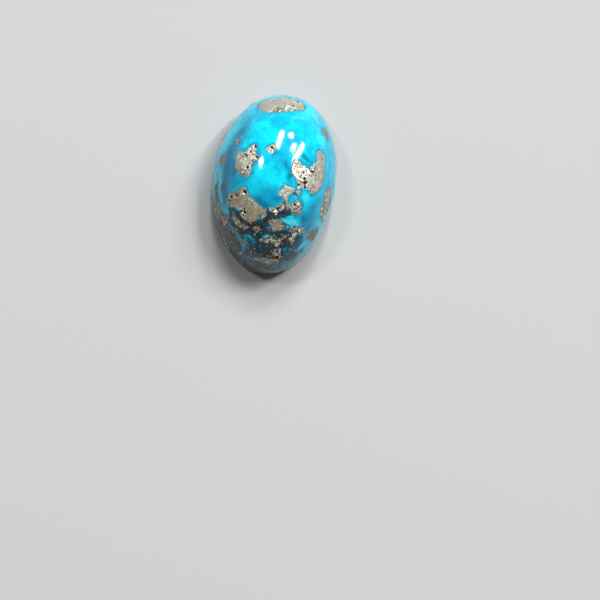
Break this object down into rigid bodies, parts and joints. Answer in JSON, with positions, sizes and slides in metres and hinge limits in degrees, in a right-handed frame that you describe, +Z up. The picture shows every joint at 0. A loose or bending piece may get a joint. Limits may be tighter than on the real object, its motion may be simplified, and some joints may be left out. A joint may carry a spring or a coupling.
{
  "type": "polished turquoise cabochon",
  "caption": "High-domed oval cabochon of blue turquoise with pyrite grown through it, with a flat sawn back to rest on or to set in a mount.",
  "frame": {"origin": "middle of the oval's box, on the flat back that the stone rests on", "axes": "+Z up out of the dome, +Y along the long axis of the oval to its all-blue end, +X across it"},
  "size_m": [0.014, 0.0206, 0.009],
  "materials": {
    "turquoise": "polished, blue turquoise with brassy grey pyrite patches; the sawn back is matte"
  },
  "bodies": {
    "root": {"stone": "turquoise"}
  },
  "joints": []
}
